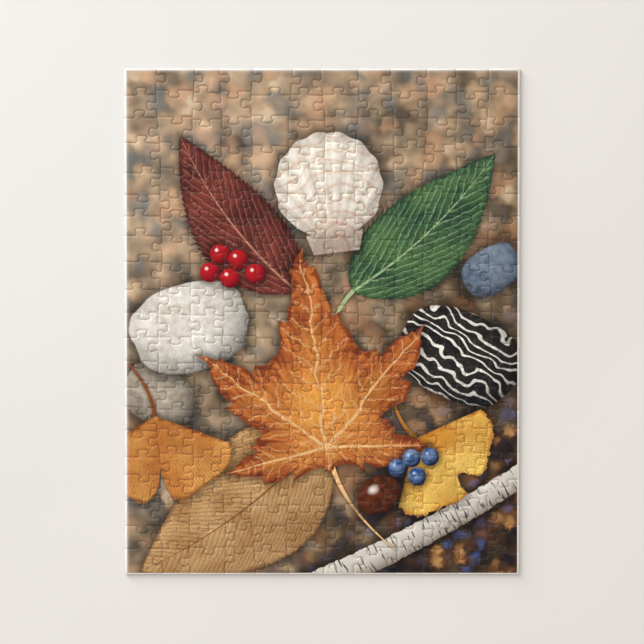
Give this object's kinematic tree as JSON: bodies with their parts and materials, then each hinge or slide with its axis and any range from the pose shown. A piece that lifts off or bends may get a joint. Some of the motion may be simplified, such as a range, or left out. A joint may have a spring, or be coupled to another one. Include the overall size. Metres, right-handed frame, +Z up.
{
  "type": "jigsaw puzzle",
  "caption": "Assembled jigsaw puzzle lying flat: interlocking die-cut pieces of laminated greyboard with a printed picture of autumn leaves, berries and stones.",
  "frame": {"origin": "middle of the underside of the assembled sheet", "axes": "+Z up, out of the printed side; +Y towards the top edge of the picture; +X towards its right edge"},
  "size_m": [0.278, 0.356, 0.002],
  "materials": {
    "print_gravel": "printed paper with a satin laminate on greyboard",
    "print_rust": "printed paper with a satin laminate on greyboard",
    "print_maroon": "printed paper with a satin laminate on greyboard",
    "print_green": "printed paper with a satin laminate on greyboard",
    "print_cream": "printed paper with a satin laminate on greyboard",
    "print_slate": "printed paper with a satin laminate on greyboard"
  },
  "bodies": {
    "root": {"block_r1_c1": "print_gravel", "block_r1_c2": "print_gravel", "block_r1_c3": "print_gravel", "block_r1_c4": "print_gravel", "block_r1_c5": "print_gravel", "block_r1_c6": "print_gravel", "block_r2_c1": "print_gravel", "block_r2_c2": "print_maroon", "block_r2_c3": "print_maroon", "block_r2_c4": "print_gravel", "block_r2_c5": "print_green", "block_r2_c6": "print_gravel", "block_r3_c1": "print_gravel", "block_r3_c2": "print_maroon", "block_r3_c3": "print_maroon", "block_r3_c4": "print_gravel", "block_r3_c5": "print_green", "block_r3_c6": "print_gravel", "block_r4_c1": "print_cream", "block_r4_c2": "print_cream", "block_r4_c3": "print_rust", "block_r4_c4": "print_rust", "block_r4_c5": "print_gravel", "block_r4_c6": "print_gravel", "block_r5_c1": "print_gravel", "block_r5_c2": "print_gravel", "block_r5_c3": "print_rust", "block_r5_c4": "print_rust", "block_r5_c5": "print_gravel", "block_r5_c6": "print_gravel", "block_r6_c1": "print_gravel", "block_r6_c2": "print_gravel", "block_r6_c3": "print_gravel", "block_r6_c4": "print_gravel", "block_r6_c5": "print_slate", "block_r6_c6": "print_slate", "block_r7_c1": "print_gravel", "block_r7_c2": "print_gravel", "block_r7_c3": "print_gravel", "block_r7_c4": "print_gravel", "block_r7_c5": "print_slate", "block_r7_c6": "print_slate"}
  },
  "joints": []
}
